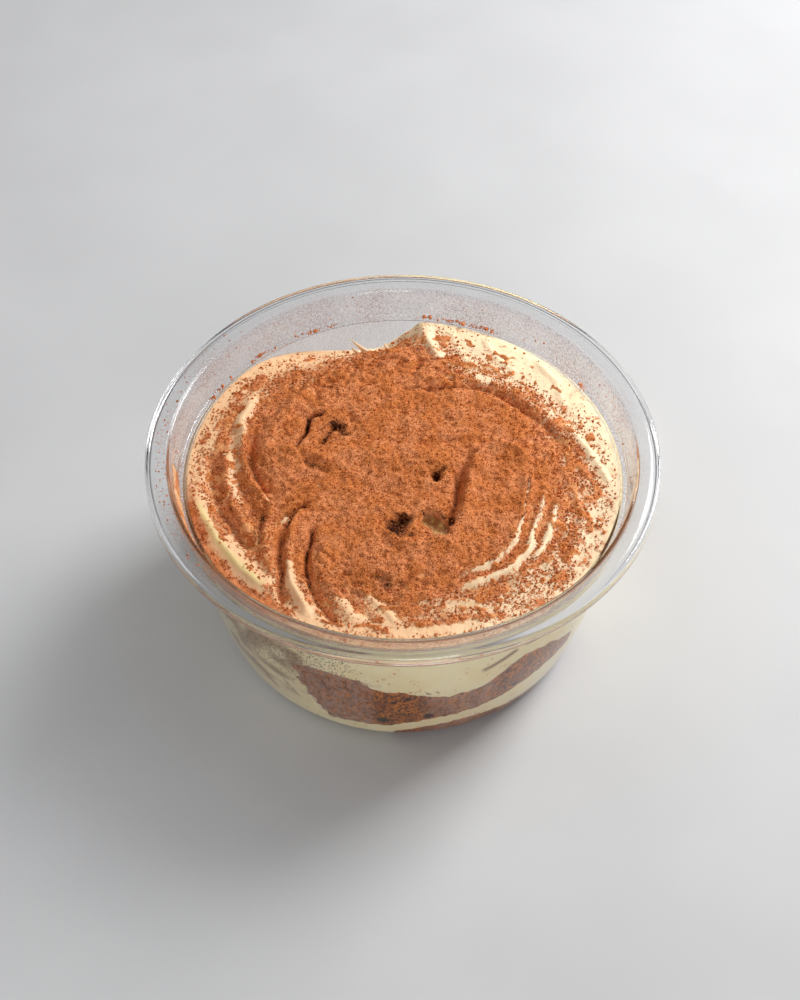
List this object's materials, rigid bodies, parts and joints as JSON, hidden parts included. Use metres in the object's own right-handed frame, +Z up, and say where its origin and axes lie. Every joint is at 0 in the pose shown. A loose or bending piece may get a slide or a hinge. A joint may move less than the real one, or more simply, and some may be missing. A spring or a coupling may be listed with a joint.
{
  "type": "tiramisu dessert in a clear round tub",
  "caption": "Layered tiramisu in a clear round plastic tub with a wide flange: soaked sponge, cream, sponge, swirled cream and a cocoa blanket on top.",
  "frame": {"origin": "centre of the tub's underside, on the surface it stands on", "axes": "+Z up out of the mouth; +X to the right and +Y away as the dessert is seen with its lower cream swirl towards the viewer"},
  "size_m": [0.1176, 0.1176, 0.053],
  "materials": {
    "clear_plastic": "clear, glossy, thin",
    "soaked_sponge": "moist open crumb",
    "cream": "smooth, soft sheen",
    "cocoa": "dry fine powder"
  },
  "bodies": {
    "root": {"tub": "clear_plastic", "bottom_sponge": "soaked_sponge", "lower_cream": "cream", "middle_sponge": "soaked_sponge", "top_cream": "cream", "cocoa_powder": "cocoa"}
  },
  "joints": []
}
